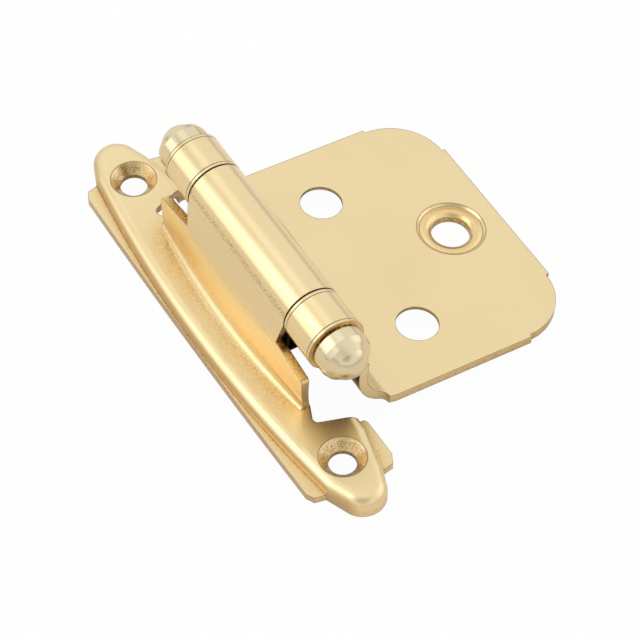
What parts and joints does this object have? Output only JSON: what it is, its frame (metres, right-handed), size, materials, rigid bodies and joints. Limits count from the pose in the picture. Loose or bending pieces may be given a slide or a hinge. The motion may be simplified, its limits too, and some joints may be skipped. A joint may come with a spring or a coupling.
{
  "type": "self-closing cabinet hinge",
  "caption": "Face-mount overlay cabinet hinge with a raised barrel, bowed frame wing, flat door plate, button tips and a leaf spring that pulls it shut.",
  "frame": {"origin": "midway between the two frame screws, on the plane the frame wing is screwed to", "axes": "+X from the frame wing towards the door plate, +Y along the pin towards the upper tip, +Z out of the mounting plane"},
  "size_m": [0.0476, 0.0698, 0.0202],
  "materials": {
    "frame_brass": "bright brass-plated steel",
    "door_brass": "brass-plated steel, faint grain",
    "pin_steel": "plain turned steel",
    "spring_steel": "blackened spring steel",
    "tip_plate": "pale nickel-toned brass plating"
  },
  "bodies": {
    "frame_side": {"frame_wing": "frame_brass", "closing_spring": "spring_steel"},
    "door_side": {"door_wing": "door_brass", "hinge_pin": "pin_steel", "upper_tip": "tip_plate", "lower_tip": "tip_plate"}
  },
  "joints": [
    {"name": "door_swing", "type": "hinge", "parent": "frame_side", "child": "door_side", "pos_m": [0.0044, 0, 0.0133], "axis": [0, -1, 0], "range_deg": [0, 180], "stiffness_Nm_per_rad": 0.05, "springref_deg": -20.05, "deforming": ["closing_spring"]}
  ]
}
